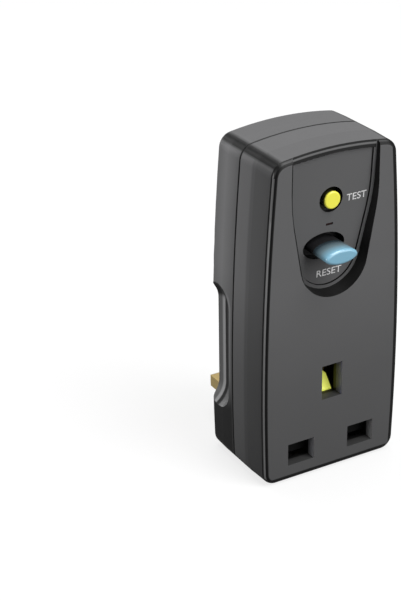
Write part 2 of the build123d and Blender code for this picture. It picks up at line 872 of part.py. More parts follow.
# Test button: a round cap with a flange that keeps it behind the panel
with BuildPart() as test_button:
    test_face_depth = panel_depth(test_height) - test_cap_proud
    test_flange_depth = backing_depth(test_height) + test_flange_gap
    with BuildSketch(facing(test_face_depth)):
        with Locations((0, test_height)):
            Circle(test_cap_diameter / 2)
    extrude(amount=-(test_flange_depth - test_face_depth))
    fillet(faces().sort_by(Axis.Y)[0].edges(), test_cap_rounding)
    with BuildSketch(facing(test_flange_depth)):
        with Locations((0, test_height)):
            Circle(test_flange_diameter / 2)
    extrude(amount=-test_flange_thickness)
test_button.part.label = "test_button"
export_step(test_button.part, "parts/test_button.step")

with BuildPart() as test_spring:
    test_spring_front = test_flange_depth + test_flange_thickness
    with BuildSketch(facing(test_spring_front)):
        with Locations((0, test_height)):
            Circle(test_spring_diameter / 2)
            Circle(test_spring_bore / 2, mode=Mode.SUBTRACT)
    extrude(amount=-(board_depth - test_spring_front))
test_spring.part.label = "test_spring"
export_step(test_spring.part, "parts/test_spring.step")

# Indicator window: a light pipe from the slot in the panel to the board
with BuildPart() as indicator_window:
    window_face_depth = panel_depth(window_height) + window_face_gap
    window_foot_depth = backing_depth(window_height) + window_face_gap
    with BuildSketch(facing(window_face_depth)):
        with Locations((0, window_height)):
            Rectangle(window_width - window_clearance * 2, window_slot - window_clearance * 2)
    extrude(amount=-(window_foot_depth - window_face_depth))
    with BuildSketch(facing(window_foot_depth)):
        with Locations((0, window_height)):
            Rectangle(window_foot_width, window_foot_height)
    extrude(amount=-(board_depth - window_foot_depth))
indicator_window.part.label = "indicator_window"
export_step(indicator_window.part, "parts/indicator_window.step")

# Reset button: an oval lens cap on a black plunger with a retaining flange
with BuildPart() as reset_cap:
    with BuildSketch(facing(-reset_proud)):
        with Locations((reset_offset, reset_height)):
            Ellipse(reset_half_width, reset_half_height)
    extrude(amount=-reset_cap_length)
    fillet(faces().sort_by(Axis.Y)[0].edges(), reset_cap_rounding)
reset_cap.part.label = "reset_cap"
export_step(reset_cap.part, "parts/reset_cap.step")

with BuildPart() as reset_plunger:
    plunger_front_depth = reset_cap_length - reset_proud
    reset_flange_depth = backing_depth(reset_height) + reset_flange_gap
    with BuildSketch(facing(plunger_front_depth)):
        with Locations((reset_offset, reset_height)):
            Ellipse(reset_half_width, reset_half_height)
    extrude(amount=-(carriage_front_depth - plunger_front_depth))
    with BuildSketch(facing(reset_flange_depth)):
        with Locations((reset_offset, reset_height)):
            Ellipse(reset_flange_half_width, reset_flange_half_height)
    extrude(amount=-reset_flange_thickness)
reset_plunger.part.label = "reset_plunger"
export_step(reset_plunger.part, "parts/reset_plunger.step")

# Contact carriage behind the plunger, with a tooth under it for the latch
with BuildPart() as contact_carriage:
    with BuildSketch(facing(carriage_front_depth)):
        with Locations((0, carriage_bottom)):
            Rectangle(carriage_half_width * 2, carriage_height, align=(Align.CENTER, Align.MIN))
    extrude(amount=-(carriage_back_depth - carriage_front_depth))
    with BuildSketch(facing(carriage_front_depth)):
        with Locations((0, carriage_bottom)):
            Rectangle(tooth_half_width * 2, tooth_drop, align=(Align.CENTER, Align.MAX))
    extrude(amount=-tooth_length)
contact_carriage.part.label = "contact_carriage"
export_step(contact_carriage.part, "parts/contact_carriage.step")

# Moving contacts: one bridge for each pole, with a rivet at each end
with BuildPart() as moving_contacts:
    bridge_middle = (strap_offset + outer_contact_offset) / 2
    with BuildSketch(facing(carriage_back_depth)):
        with Locations((-bridge_middle, reset_height), (bridge_middle, reset_height)):
            Rectangle(moving_bar_half_length * 2, moving_bar_height)
    extrude(amount=-contact_thickness)
    with BuildSketch(facing(carriage_back_depth + contact_thickness)):
        for offset_x in (strap_offset, outer_contact_offset):
            with Locations((-offset_x, reset_height), (offset_x, reset_height)):
                Circle(rivet_diameter / 2)
    extrude(amount=-rivet_height)
moving_contacts.part.label = "moving_contacts"
export_step(moving_contacts.part, "parts/moving_contacts.step")

with BuildPart() as reset_spring:
    with BuildSketch(facing(carriage_back_depth)):
        with Locations((0, reset_height)):
            Circle(reset_spring_diameter / 2)
            Circle(reset_spring_bore / 2, mode=Mode.SUBTRACT)
    extrude(amount=-(frame_plate_depth - carriage_back_depth))
reset_spring.part.label = "reset_spring"
export_step(reset_spring.part, "parts/reset_spring.step")

# Mechanism frame: a plate that carries the fixed contacts, the trip coil and the latch
latch_ear_inner = latch_hub_half_width + latch_ear_gap
latch_ear_outer = latch_ear_inner + latch_ear_thickness
with BuildPart() as mechanism_frame:
    with BuildSketch(facing(frame_plate_depth)):
        with Locations((0, frame_bottom)):
            Rectangle(frame_half_width * 2, frame_top - frame_bottom, align=(Align.CENTER, Align.MIN))
    extrude(amount=-frame_plate_thickness)
    with BuildSketch(facing(frame_plate_depth + frame_plate_thickness)):
        for post_height in (frame_post_low, frame_post_high):
            with Locations((-frame_post_half_span, post_height), (frame_post_half_span, post_height)):
                Circle(frame_post_diameter / 2)
    extrude(amount=-(inner_back_depth - frame_plate_depth - frame_plate_thickness))
    with BuildSketch(facing(frame_plate_depth)):
        with Locations((0, frame_pad_bottom)):
            Rectangle(frame_pad_half_width * 2, frame_pad_height, align=(Align.CENTER, Align.MIN))
    extrude(amount=frame_plate_depth - coil_axis_depth - yoke_half_width - yoke_thickness)
    ear_reach_depth = latch_axis_depth - latch_ear_height / 2
    with BuildSketch(facing(frame_plate_depth)):
        for side in (-1, 1):
            with Locations((side * (latch_ear_inner + latch_ear_outer) / 2, latch_axis_height)):
                Rectangle(latch_ear_thickness, latch_ear_height)
    extrude(amount=frame_plate_depth - ear_reach_depth)
    with BuildSketch(Plane.YZ.offset(-frame_half_width)):
        with Locations((y_at(latch_axis_depth), latch_axis_height)):
            Circle(latch_pin_diameter / 2)
    extrude(amount=frame_half_width * 2, mode=Mode.SUBTRACT)
mechanism_frame.part.label = "mechanism_frame"
export_step(mechanism_frame.part, "parts/mechanism_frame.step")

# Latch lever: a hub on its pin, a slotted arm over the trip plunger and a nib at the front
arm_bottom = latch_axis_height - latch_arm_thickness / 2
with BuildPart() as latch_lever:
    with BuildSketch(Plane.YZ):
        with Locations((y_at(latch_axis_depth), latch_axis_height)):
            Circle(latch_hub_diameter / 2)
    extrude(amount=latch_hub_half_width, both=True)
    with BuildSketch(Plane.XY.offset(arm_bottom)):
        with Locations((0, y_at(latch_arm_reach_depth))):
            Rectangle(
                latch_arm_half_width * 2,
                latch_axis_depth - latch_arm_reach_depth,
                align=(Align.CENTER, Align.MIN),
            )
        with Locations((0, y_at(coil_axis_depth))):
            Rectangle(latch_slot_half_width * 2, latch_slot_half_length * 2, mode=Mode.SUBTRACT)
    extrude(amount=latch_arm_thickness)
    with BuildSketch(Plane.XY.offset(arm_bottom + latch_arm_thickness)):
        with Locations((0, y_at(latch_arm_reach_depth))):
            Rectangle(latch_slot_half_width * 2, latch_nib_length, align=(Align.CENTER, Align.MIN))
    extrude(amount=latch_nib_height)
    with BuildSketch(Plane.YZ.offset(-latch_hub_half_width)):
        with Locations((y_at(latch_axis_depth), latch_axis_height)):
            Circle(latch_bore_diameter / 2)
    extrude(amount=latch_hub_half_width * 2, mode=Mode.SUBTRACT)
latch_lever.part.label = "latch_lever"
export_step(latch_lever.part, "parts/latch_lever.step")

with BuildPart() as latch_pin:
    with BuildSketch(Plane.YZ.offset(-latch_ear_outer)):
        with Locations((y_at(latch_axis_depth), latch_axis_height)):
            Circle(latch_pin_diameter / 2)
    extrude(amount=latch_ear_outer * 2)
latch_pin.part.label = "latch_pin"
export_step(latch_pin.part, "parts/latch_pin.step")

# Trip coil: bobbin, winding, steel yoke and the plunger that the coil pulls down
with BuildPart() as coil_bobbin:
    for flange_bottom in (coil_bottom, coil_top - bobbin_flange_thickness):
        with BuildSketch(Plane.XY.offset(flange_bottom)):
            with Locations((0, y_at(coil_axis_depth))):
                Rectangle(bobbin_flange_half_width * 2, bobbin_flange_half_width * 2)
        extrude(amount=bobbin_flange_thickness)
    with BuildSketch(Plane.XY.offset(coil_bottom)):
        with Locations((0, y_at(coil_axis_depth))):
            Circle(bobbin_tube_diameter / 2)
    extrude(amount=coil_length)
    with BuildSketch(Plane.XY.offset(coil_bottom)):
        with Locations((0, y_at(coil_axis_depth))):
            Circle(bobbin_bore_diameter / 2)
    extrude(amount=coil_length, mode=Mode.SUBTRACT)
coil_bobbin.part.label = "coil_bobbin"
export_step(coil_bobbin.part, "parts/coil_bobbin.step")

with BuildPart() as coil_winding:
    with BuildSketch(Plane.XY.offset(coil_bottom + bobbin_flange_thickness)):
        with Locations((0, y_at(coil_axis_depth))):
            Circle(coil_outer_diameter / 2)
            Circle(bobbin_tube_diameter / 2, mode=Mode.SUBTRACT)
    extrude(amount=coil_length - bobbin_flange_thickness * 2)
coil_winding.part.label = "coil_winding"
export_step(coil_winding.part, "parts/coil_winding.step")

with BuildPart() as coil_yoke:
    yoke_front = y_at(coil_axis_depth - yoke_half_width)
    yoke_back = y_at(coil_axis_depth + yoke_half_width)
    with BuildSketch(Plane.YZ.offset(-yoke_half_width)):
        with BuildLine():
            Polyline(
                (yoke_front, coil_bottom - yoke_thickness),
                (yoke_back + yoke_thickness, coil_bottom - yoke_thickness),
                (yoke_back + yoke_thickness, coil_top + yoke_thickness),
                (yoke_front, coil_top + yoke_thickness),
                (yoke_front, coil_top),
                (yoke_back, coil_top),
                (yoke_back, coil_bottom),
                (yoke_front, coil_bottom),
                close=True,
            )
        make_face()
    extrude(amount=yoke_half_width * 2)
    with BuildSketch(Plane.XY.offset(coil_top)):
        with Locations((0, y_at(coil_axis_depth))):
            Circle(yoke_hole_diameter / 2)
    extrude(amount=yoke_thickness, mode=Mode.SUBTRACT)
coil_yoke.part.label = "coil_yoke"
export_step(coil_yoke.part, "parts/coil_yoke.step")

with BuildPart() as trip_plunger:
    with BuildSketch(Plane.XY.offset(trip_plunger_bottom)):
        with Locations((0, y_at(coil_axis_depth))):
            Circle(trip_plunger_diameter / 2)
    extrude(amount=trip_neck_bottom - trip_plunger_bottom)
    with BuildSketch(Plane.XY.offset(trip_neck_bottom)):
        with Locations((0, y_at(coil_axis_depth))):
            Circle(trip_neck_diameter / 2)
    extrude(amount=trip_neck_length)
    with BuildSketch(Plane.XY.offset(trip_neck_bottom + trip_neck_length)):
        with Locations((0, y_at(coil_axis_depth))):
            Circle(trip_plunger_diameter / 2)
    extrude(amount=trip_head_height)
trip_plunger.part.label = "trip_plunger"
export_step(trip_plunger.part, "parts/trip_plunger.step")

# Current transformer: a ring core round both feed straps, with its sensing winding
core_y = y_at(feed_strap_depth + strap_thickness / 2)
with BuildPart() as transformer_core:
    with BuildSketch(Plane.XY.offset(core_bottom)):
        with Locations((0, core_y)):
            Circle(core_outer_diameter / 2)
            Circle(core_bore_diameter / 2, mode=Mode.SUBTRACT)
    extrude(amount=core_height)
transformer_core.part.label = "transformer_core"
export_step(transformer_core.part, "parts/transformer_core.step")

with BuildPart() as sensing_winding:
    ring_middle = (core_outer_diameter + core_bore_diameter) / 4
    ring_width = (core_outer_diameter - core_bore_diameter) / 2
    winding_axis = Axis((0, core_y, 0), (0, 0, 1))
    winding_start = radians(winding_middle_angle - winding_angle / 2)
    winding_plane = Plane(
        origin=(0, core_y, 0),
        x_dir=(cos(winding_start), sin(winding_start), 0),
        z_dir=(sin(winding_start), -cos(winding_start), 0),
    )
    with BuildSketch(winding_plane):
        with Locations((ring_middle, core_bottom + core_height / 2)):
            Rectangle(ring_width + winding_thickness * 2, core_height + winding_thickness * 2)
            Rectangle(ring_width, core_height, mode=Mode.SUBTRACT)
    revolve(axis=winding_axis, revolution_arc=winding_angle)
sensing_winding.part.label = "sensing_winding"
export_step(sensing_winding.part, "parts/sensing_winding.step")

# Circuit board on the posts of the front cover, with holes for the screw bosses
with BuildPart() as circuit_board:
    with BuildSketch(facing(board_depth)):
        with Locations((0, board_bottom)):
            Rectangle(board_half_width * 2, board_top - board_bottom, align=(Align.CENTER, Align.MIN))
        with Locations(*screw_places[2:]):
            Circle(boss_diameter / 2 + board_hole_clearance, mode=Mode.SUBTRACT)
    extrude(amount=-board_thickness)
circuit_board.part.label = "circuit_board"
export_step(circuit_board.part, "parts/circuit_board.step")

with BuildPart() as capacitor:
    with BuildSketch(facing(board_back_depth)):
        with Locations(capacitor_place):
            Rectangle(capacitor_width, capacitor_height)
    extrude(amount=-capacitor_depth)
capacitor.part.label = "capacitor"
export_step(capacitor.part, "parts/capacitor.step")

with BuildPart() as varistor:
    with BuildSketch(facing(board_back_depth)):
        with Locations(varistor_place):
            Circle(varistor_diameter / 2)
    extrude(amount=-varistor_thickness)
varistor.part.label = "varistor"
export_step(varistor.part, "parts/varistor.step")

with BuildPart() as test_resistor:
    resistor_y = y_at(board_back_depth + resistor_diameter / 2)
    with BuildSketch(Plane.YZ.offset(-resistor_length / 2)):
        with Locations((resistor_y, resistor_height)):
            Circle(resistor_diameter / 2)
    extrude(amount=resistor_length)
test_resistor.part.label = "test_resistor"
export_step(test_resistor.part, "parts/test_resistor.step")

with BuildPart() as control_chip:
    with BuildSketch(facing(board_back_depth)):
        with Locations(chip_place):
            Rectangle(chip_width, chip_height)
    extrude(amount=-chip_thickness)
control_chip.part.label = "control_chip"
export_step(control_chip.part, "parts/control_chip.step")
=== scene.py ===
import math

import bpy
from mathutils import Matrix, Vector


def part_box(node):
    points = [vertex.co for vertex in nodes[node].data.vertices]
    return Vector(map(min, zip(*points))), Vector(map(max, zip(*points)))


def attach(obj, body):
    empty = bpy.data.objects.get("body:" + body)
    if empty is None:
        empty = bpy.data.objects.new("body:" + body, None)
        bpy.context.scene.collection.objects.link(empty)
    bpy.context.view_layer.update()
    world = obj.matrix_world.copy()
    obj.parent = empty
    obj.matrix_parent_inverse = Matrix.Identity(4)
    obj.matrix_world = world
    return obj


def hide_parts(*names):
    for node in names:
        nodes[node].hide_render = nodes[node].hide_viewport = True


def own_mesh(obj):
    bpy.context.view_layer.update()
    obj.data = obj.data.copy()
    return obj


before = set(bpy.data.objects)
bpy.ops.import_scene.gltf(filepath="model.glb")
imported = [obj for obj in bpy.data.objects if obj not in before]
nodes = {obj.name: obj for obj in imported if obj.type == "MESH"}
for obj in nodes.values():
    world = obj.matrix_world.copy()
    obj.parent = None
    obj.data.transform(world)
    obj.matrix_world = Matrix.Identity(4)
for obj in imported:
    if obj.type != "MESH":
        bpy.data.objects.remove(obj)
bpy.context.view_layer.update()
mm = 0.001
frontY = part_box("front_cover")[0].y
print("frame loaded:", len(nodes), "nodes")


# One value of a shader, so that sums on it read as plain sums
class Tap:
    def __init__(self, paint, socket):
        self.paint = paint
        self.socket = socket

    def sum(self, operation, first, second):
        return self.paint.node("Math", {"operation": operation}, {0: first, 1: second})

    def __add__(self, other):
        return self.sum("ADD", self, other)

    __radd__ = __add__

    def __sub__(self, other):
        return self.sum("SUBTRACT", self, other)

    def __rsub__(self, other):
        return self.sum("SUBTRACT", other, self)

    def __mul__(self, other):
        return self.sum("MULTIPLY", self, other)

    __rmul__ = __mul__

    def __truediv__(self, other):
        return self.sum("DIVIDE", self, other)

    def __rtruediv__(self, other):
        return self.sum("DIVIDE", other, self)


# A material, or the world, under construction
class Paint:
    def __init__(self, name, owner=None):
        self.owner = owner or bpy.data.materials.new(name)
        self.owner.use_nodes = True
        self.tree = self.owner.node_tree
        self.tree.nodes.clear()

    # Any node: its type, its settings, which are set first, then its sockets
    def node(self, kind, settings=None, sockets=None, output=0):
        made = self.tree.nodes.new("ShaderNode" + kind)
        for key, value in (settings or {}).items():
            if key == "stops":
                while len(made.color_ramp.elements) < len(value):
                    made.color_ramp.elements.new(0.5)
                for element, (place, colour) in zip(made.color_ramp.elements, value):
                    element.position = place
                    element.color = (*colour, 1)
            elif key == "between":
                made.color_ramp.interpolation = value
            else:
                setattr(made, key, value)
        for key, value in (sockets or {}).items():
            if isinstance(value, Tap):
                self.tree.links.new(value.socket, made.inputs[key])
            else:
                made.inputs[key].default_value = value
        return Tap(self, made.outputs[output])

    def place(self):
        return self.node("TexCoord", output="Object")

    def noise(self, size, detail=2, stretch=(1, 1, 1)):
        spot = self.node("Mapping", {}, {"Vector": self.place(), "Scale": stretch})
        sockets = {"Vector": spot, "Scale": 1 / size, "Detail": detail}
        return self.node("TexNoise", {}, sockets, "Fac")

    def parts(self, vector):
        return [self.node("SeparateXYZ", {}, {"Vector": vector}, axis) for axis in "XYZ"]

    def size(self, value):
        return self.node("Math", {"operation": "ABSOLUTE"}, {0: value})

    def distance(self, *parts):
        total = parts[0] * parts[0]
        for part in parts[1:]:
            total = total + part * part
        return self.node("Math", {"operation": "SQRT"}, {0: total})

    # One where the value is above the edge, nought below it, with a soft change
    def above(self, value, edge, soft):
        sockets = {"Value": value, "From Min": edge - soft / 2, "From Max": edge + soft / 2}
        return self.node("MapRange", {"clamp": True}, sockets, "Result")

    def below(self, value, edge, soft):
        return 1 - self.above(value, edge, soft)

    def ramp(self, value, stops):
        stops = [(place, (tone, tone, tone)) for place, tone in stops]
        return self.node("ValToRGB", {"stops": stops}, {"Fac": value})

    def tint(self, first, second):
        settings = {"data_type": "RGBA", "blend_type": "MULTIPLY"}
        return self.node("Mix", settings, {"Factor": 1.0, 6: first, 7: second}, 2)

    # Nought at the start, one at the end of a stretch of one axis
    def along(self, axis, start, end):
        part = self.node("SeparateXYZ", {}, {"Vector": self.place()}, axis)
        sockets = {"Value": part, "From Min": start, "From Max": end}
        return self.node("MapRange", {"clamp": True}, sockets, "Result")

    def blend(self, amount, first, second):
        settings = {"data_type": "RGBA", "clamp_factor": True}
        sockets = {"Factor": amount, 6: first, 7: second}
        return self.node("Mix", settings, sockets, 2)

    def relief(self, height, depth):
        return self.node("Bump", {}, {"Height": height, "Distance": depth, "Strength": 1.0})

    def finish(self, **surface):
        names = {
            "colour": "Base Color", "rough": "Roughness", "metal": "Metallic",
            "coat": "Coat Weight", "coatRough": "Coat Roughness", "normal": "Normal",
            "glow": "Emission Color", "glowStrength": "Emission Strength",
            "specular": "Specular IOR Level",
        }
        sockets = {names[key]: value for key, value in surface.items()}
        self.close(self.node("BsdfPrincipled", {}, sockets))
        return self.owner

    # A skin whose one fine pattern moves its colour, gloss and relief together
    def skin(self, look, **surface):
        pattern = self.noise(look["size"], look["detail"], look.get("stretch", (1, 1, 1)))
        if "colour" not in surface:
            surface["colour"] = self.blend(pattern, look["first"], look["second"])
        if "glowStrength" in surface:
            surface["glow"] = surface["colour"]
        rough = look["rough"] + pattern * look["glossDrift"]
        return self.finish(rough=rough, normal=self.relief(pattern, look["depth"]), **surface)

    def close(self, shader, kind="OutputMaterial"):
        out = self.tree.nodes.new("ShaderNode" + kind)
        self.tree.links.new(shader.socket, out.inputs["Surface"])


def shade(colour, factor):
    return tuple(channel * factor for channel in colour[:3]) + (1,)


def wear(node, material):
    for slot in nodes[node].material_slots:
        slot.material = material


# Moulded plastic: spark-eroded grain, a slow drift of tone and slightly uneven gloss
def driftColour(paint, look):
    drift = paint.noise(look["driftSize"], 3)
    dark = shade(look["colour"], 1 - look["driftTone"])
    light = shade(look["colour"], 1 + look["driftTone"])
    return paint.blend(drift, dark, light)


def plasticSkin(paint, look, colour):
    grain = paint.noise(look["grainSize"])
    flow = paint.noise(look["driftSize"] * look["flowShare"], stretch=look["flowStretch"])
    rough = look["rough"] + (flow - 0.5) * look["glossDrift"]
    normal = paint.relief(grain, look["grainDepth"])
    return paint.finish(colour=colour, rough=rough, normal=normal, specular=look["specular"])


def mouldedPlastic(name, look):
    paint = Paint(name)
    return plasticSkin(paint, look, driftColour(paint, look))


plainPlastic = {"driftTone": 0.05, "flowShare": 0.35, "flowStretch": (1, 1, 0.4)}
casePlastic = {
    **plainPlastic, "driftTone": 0.04,
    "colour": (0.108, 0.108, 0.11), "rough": 0.42, "glossDrift": 0.07, "specular": 0.2,
    "grainSize": 0.09 * mm, "grainDepth": 0.006 * mm, "driftSize": 22 * mm,
}
panelPlastic = {
    **plainPlastic, "driftTone": 0.03, "flowStretch": (1, 1, 1),
    "colour": (0.106, 0.106, 0.108), "rough": 0.46, "glossDrift": 0.05, "specular": 0.2,
    "grainSize": 0.07 * mm, "grainDepth": 0.005 * mm, "driftSize": 14 * mm,
}
blackPlastic = {
    **plainPlastic,
    "colour": (0.012, 0.012, 0.013), "rough": 0.38, "glossDrift": 0.1, "specular": 0.5,
    "grainSize": 0.08 * mm, "grainDepth": 0.004 * mm, "driftSize": 6 * mm,
}
shutterPlastic = {
    **plainPlastic,
    "colour": (0.005, 0.005, 0.005), "rough": 0.6, "glossDrift": 0.08, "specular": 0.1,
    "grainSize": 0.08 * mm, "grainDepth": 0.004 * mm, "driftSize": 8 * mm,
}
framePlastic = {
    **plainPlastic,
    "colour": (0.55, 0.53, 0.47), "rough": 0.5, "glossDrift": 0.08, "specular": 0.45,
    "grainSize": 0.1 * mm, "grainDepth": 0.006 * mm, "driftSize": 9 * mm,
}


# Where a surface is and which way it faces, for the steps of one paint. Ahead is towards the
# front, aside the distance from the middle plane, depth the distance behind the front.
class Spot:
    def __init__(self, paint):
        self.x, self.y, self.z = paint.parts(paint.place())
        self.across, self.back, self.up = paint.parts(paint.node("TexCoord", output="Normal"))
        self.ahead = 0 - self.back
        self.aside = paint.size(self.x)
        self.sideways = paint.size(self.across)
        self.depth = self.y - frontY


# The case is painted in steps, each with its own look. Every step but the parting line paints
# light and shade into the colour. A pair in a look is an edge and the width of the soft change
# across it, and a list gives the tones along a run from 0 to 1.
caseHeight = 109.3 * mm
partingY = 0.8 * mm
# Dark lines, painted shade everywhere but at the parting line, and the black of painted shade on
# walls
lineColour = (0.008, 0.008, 0.008, 1)
shadowColour = (0.007, 0.007, 0.007, 1)

# The polished rounds of the front edges, with painted reflection that darkens or lightens them by
# how far they face ahead, and a painted highlight glint on the left-hand rounds
edgeReflectionLook = {
    "tone": [(0.0, 1.0), (0.05, 0.9), (0.14, 0.04), (0.92, 0.02), (0.986, 0.12), (0.996, 1.0)],
    "glint": [(0.36, 0.0), (0.48, 1.0), (0.7, 1.0), (0.8, 0.0)],
    "glintColour": (0.21, 0.21, 0.212, 1), "rightward": (0.25, 0.2),
    "downward": (-0.35, 0.2), "upward": (0.45, 0.3), "upwardLoss": 0.8,
}


def paintEdgeReflections(paint, spot, colour):
    look = edgeReflectionLook
    colour = paint.tint(colour, paint.ramp(spot.ahead, look["tone"]))
    lit = paint.below(spot.across, *look["rightward"]) * paint.above(spot.up, *look["downward"])
    glint = paint.ramp(spot.ahead, look["glint"]) * lit
    glint = glint * (1 - paint.above(spot.up, *look["upward"]) * look["upwardLoss"])
    return paint.blend(glint, colour, look["glintColour"])


# Painted reflection and shade on the sides: bands that darken towards the front, with a step at
# the shoulder line. Painted shade sinks both the front and the sides in tone towards the foot, and
# a painted shadow blackens the lower rear of the sides.
sideShadeLook = {
    "turned": (0.86, 0.12), "outside": (20 * mm, 1 * mm), "depth": 32 * mm,
    "band": [(0.0, 0.6), (0.1, 0.8), (0.34, 0.92), (0.37, 1.3), (0.56, 1.4), (0.6, 1.2),
             (0.66, 1.45), (0.8, 1.9), (1.0, 1.4)],
    "foot": [(0.0, 0.7), (0.3, 0.8), (0.62, 1.0)],
    "sideFoot": [(0.0, 0.7), (0.35, 0.82), (0.6, 1.0)],
    "darkFrom": (0.59, 0.03), "darkBelow": (25 * mm, 12 * mm), "darkShare": 0.93,
}


def paintSideShade(paint, spot, colour):
    look = sideShadeLook
    depth = spot.depth / look["depth"]
    height = spot.z / caseHeight
    side = paint.above(spot.sideways, *look["turned"]) * paint.above(spot.aside, *look["outside"])
    colour = paint.blend(side, colour, paint.tint(colour, paint.ramp(depth, look["band"])))
    colour = paint.tint(colour, paint.ramp(height, look["foot"]))
    colour = paint.blend(side, colour, paint.tint(colour, paint.ramp(height, look["sideFoot"])))
    dark = paint.above(depth, *look["darkFrom"]) * paint.below(spot.z, *look["darkBelow"])
    return paint.blend(side * dark * look["darkShare"], colour, shadowColour)


# A painted shade line under the foot of the sides, on the surfaces near the bottom that face down
soleShadeLook = {"downward": (-0.36, 0.14), "turned": (0.2, 0.1), "below": (6 * mm, 1 * mm)}


def paintSoleShade(paint, spot, colour):
    look = soleShadeLook
    sole = paint.below(spot.up, *look["downward"]) * paint.above(spot.sideways, *look["turned"])
    return paint.blend(sole * paint.below(spot.z, *look["below"]), colour, lineColour)


# A painted shade line round the front face, at the right and the bottom. The side is an arc.
borderShadeLook = {"flat": (0.9, 0.05), "width": (2.25 * mm, 0.1 * mm),
              "sideCentre": 794.85 * mm, "sideRadius": 820 * mm, "widest": 32 * mm}


def paintBorderShade(paint, spot, colour):
    look = borderShadeLook
    fromCentre = paint.distance(spot.x + look["sideCentre"], spot.z - look["widest"])
    inside = look["sideRadius"] - fromCentre
    inside = paint.node("Math", {"operation": "MINIMUM"}, {0: inside, 1: spot.z})
    border = paint.above(spot.ahead, *look["flat"]) * paint.below(inside, *look["width"])
    return paint.blend(border, colour, lineColour)


# A painted shadow line along the left lip of the recess, for the shaded gap behind it: how far out
# the lip is, by height
lipShadowLook = {
    "reach": 20 * mm,
    "reachShares": [(0.595, 0.4345), (0.613, 0.51), (0.6313, 0.5595), (0.6505, 0.588),
                    (0.7868, 0.719), (0.8371, 0.753), (0.8875, 0.7645), (0.979, 0.758)],
    "inner": (-0.05 * mm, 0.04 * mm), "outer": (0.33 * mm, 0.1 * mm),
    "above": (65.6 * mm, 1 * mm), "depth": (0.3 * mm, 0.1 * mm),
}


def paintLipShadow(paint, spot, colour):
    look = lipShadowLook
    reach = paint.ramp(spot.z / caseHeight, look["reachShares"]) * look["reach"]
    past = 0 - spot.x - reach
    lip = paint.above(past, *look["inner"]) * paint.below(past, *look["outer"])
    lip = lip * paint.above(spot.z, *look["above"]) * paint.below(spot.depth, *look["depth"])
    return paint.blend(lip, colour, lineColour)


# The finger scoops, with painted light: painted highlight and shade down the hollow by which way
# it faces, more painted shade where it faces down, and a painted highlight along the front rim.
# The hollow is a round-ended rod beside the case, given by its axis, radius and half length.
scoopLightLook = {
    "span": 29.5 * mm, "back": 10.5 * mm, "radius": 8.5 * mm, "middle": 38.5 * mm,
    "half": 14.5 * mm, "skin": (0.12 * mm, 0.08 * mm), "colour": (0.3, 0.3, 0.303, 1),
    "tone": [(0.0, 0.2), (0.25, 0.4), (0.42, 0.5), (0.5, 0.08), (0.62, 0.08), (0.67, 1.2),
             (0.76, 1.1), (0.81, 0.45), (1.0, 0.4)],
    "endShade": [(0.0, 0.05), (0.3, 0.15), (0.45, 1.0), (1.0, 1.0)],
    "rimInner": (0.2 * mm, 0.2 * mm), "rimOuter": (1.1 * mm, 0.7 * mm),
    "rimBack": (4.5 * mm, 2 * mm), "rimFront": (partingY, 0.4 * mm), "rimHighlight": (1.6, 1.6, 1.6, 1),
}


def paintScoopLight(paint, spot, colour):
    look = scoopLightLook
    beyond = paint.size(spot.z - look["middle"]) - look["half"]
    beyond = paint.node("Math", {"operation": "MAXIMUM"}, {0: beyond, 1: 0.0})
    reach = paint.distance(spot.aside - look["span"], spot.y - look["back"], beyond)
    reach = reach - look["radius"]
    rim = paint.above(reach, *look["rimInner"]) * paint.below(reach, *look["rimOuter"])
    rim = rim * paint.below(spot.y, *look["rimBack"]) * paint.above(spot.y, *look["rimFront"])
    colour = paint.blend(rim, colour, paint.tint(colour, look["rimHighlight"]))
    hollow = paint.below(paint.size(reach), *look["skin"])
    hollowLightAndShade = paint.tint(look["colour"], paint.ramp(spot.ahead + 0.5, look["tone"]))
    hollowLightAndShade = paint.tint(hollowLightAndShade, paint.ramp(spot.up + 0.5, look["endShade"]))
    return paint.blend(hollow, colour, hollowLightAndShade)


# The strip between the panel and the top edge, painted with the dark and bright reflection lines
# of an edge rolled over like the other edges. It follows the arch of the top.
stripReflectionLook = {
    "archMiddle": -2.7 * mm, "start": 109.3 * mm, "width": 2.6 * mm,
    "colour": (0.22, 0.22, 0.222, 1),
    "tone": [(0.0, 0.1), (0.4, 0.08), (0.5, 0.7), (0.66, 0.75), (0.74, 0.12), (1.0, 0.1)],
    "flat": (0.9, 0.04), "within": (14.6 * mm, 0.3 * mm), "from": (0, 0.1 * mm),
    "above": (95 * mm, 1 * mm), "depth": (0.5 * mm, 0.2 * mm),
}


def paintStripReflection(paint, spot, colour):
    look = stripReflectionLook
    lift = paint.distance(spot.x, spot.z - look["archMiddle"]) - look["start"]
    strip = paint.above(spot.ahead, *look["flat"]) * paint.below(spot.aside, *look["within"])
    strip = strip * paint.above(lift, *look["from"]) * paint.above(spot.z, *look["above"])
    strip = strip * paint.above(spot.depth, *look["depth"])
    rolled = paint.tint(look["colour"], paint.ramp(lift / look["width"], look["tone"]))
    return paint.blend(strip, colour, rolled)


# Top corners of the outline, between the sides and the arch, painted with a dark reflection band
# and a lighter streak by which way they face
cornerShadeLook = {
    "tone": [(0.0, 1.0), (0.22, 1.05), (0.36, 0.22), (0.52, 0.03), (0.64, 0.12), (0.76, 0.03),
             (0.86, 0.9), (0.94, 1.0)],
    "upward": (0.06, 0.05), "above": (90 * mm, 1 * mm), "outside": (17 * mm, 1 * mm),
}


def paintCornerShade(paint, spot, colour):
    look = cornerShadeLook
    corner = paint.above(spot.up, *look["upward"]) * paint.above(spot.z, *look["above"])
    corner = corner * paint.above(spot.aside, *look["outside"])
    turned = paint.ramp(spot.sideways, look["tone"])
    return paint.blend(corner, colour, paint.tint(colour, turned))


# Painted black shade on the walls of the shield recess, which face its middle
recessShadeLook = {"middle": 85 * mm, "above": (58 * mm, 1 * mm), "inward": (-0.2 * mm, 0.2 * mm),
              "steep": (-0.93, 0.1)}


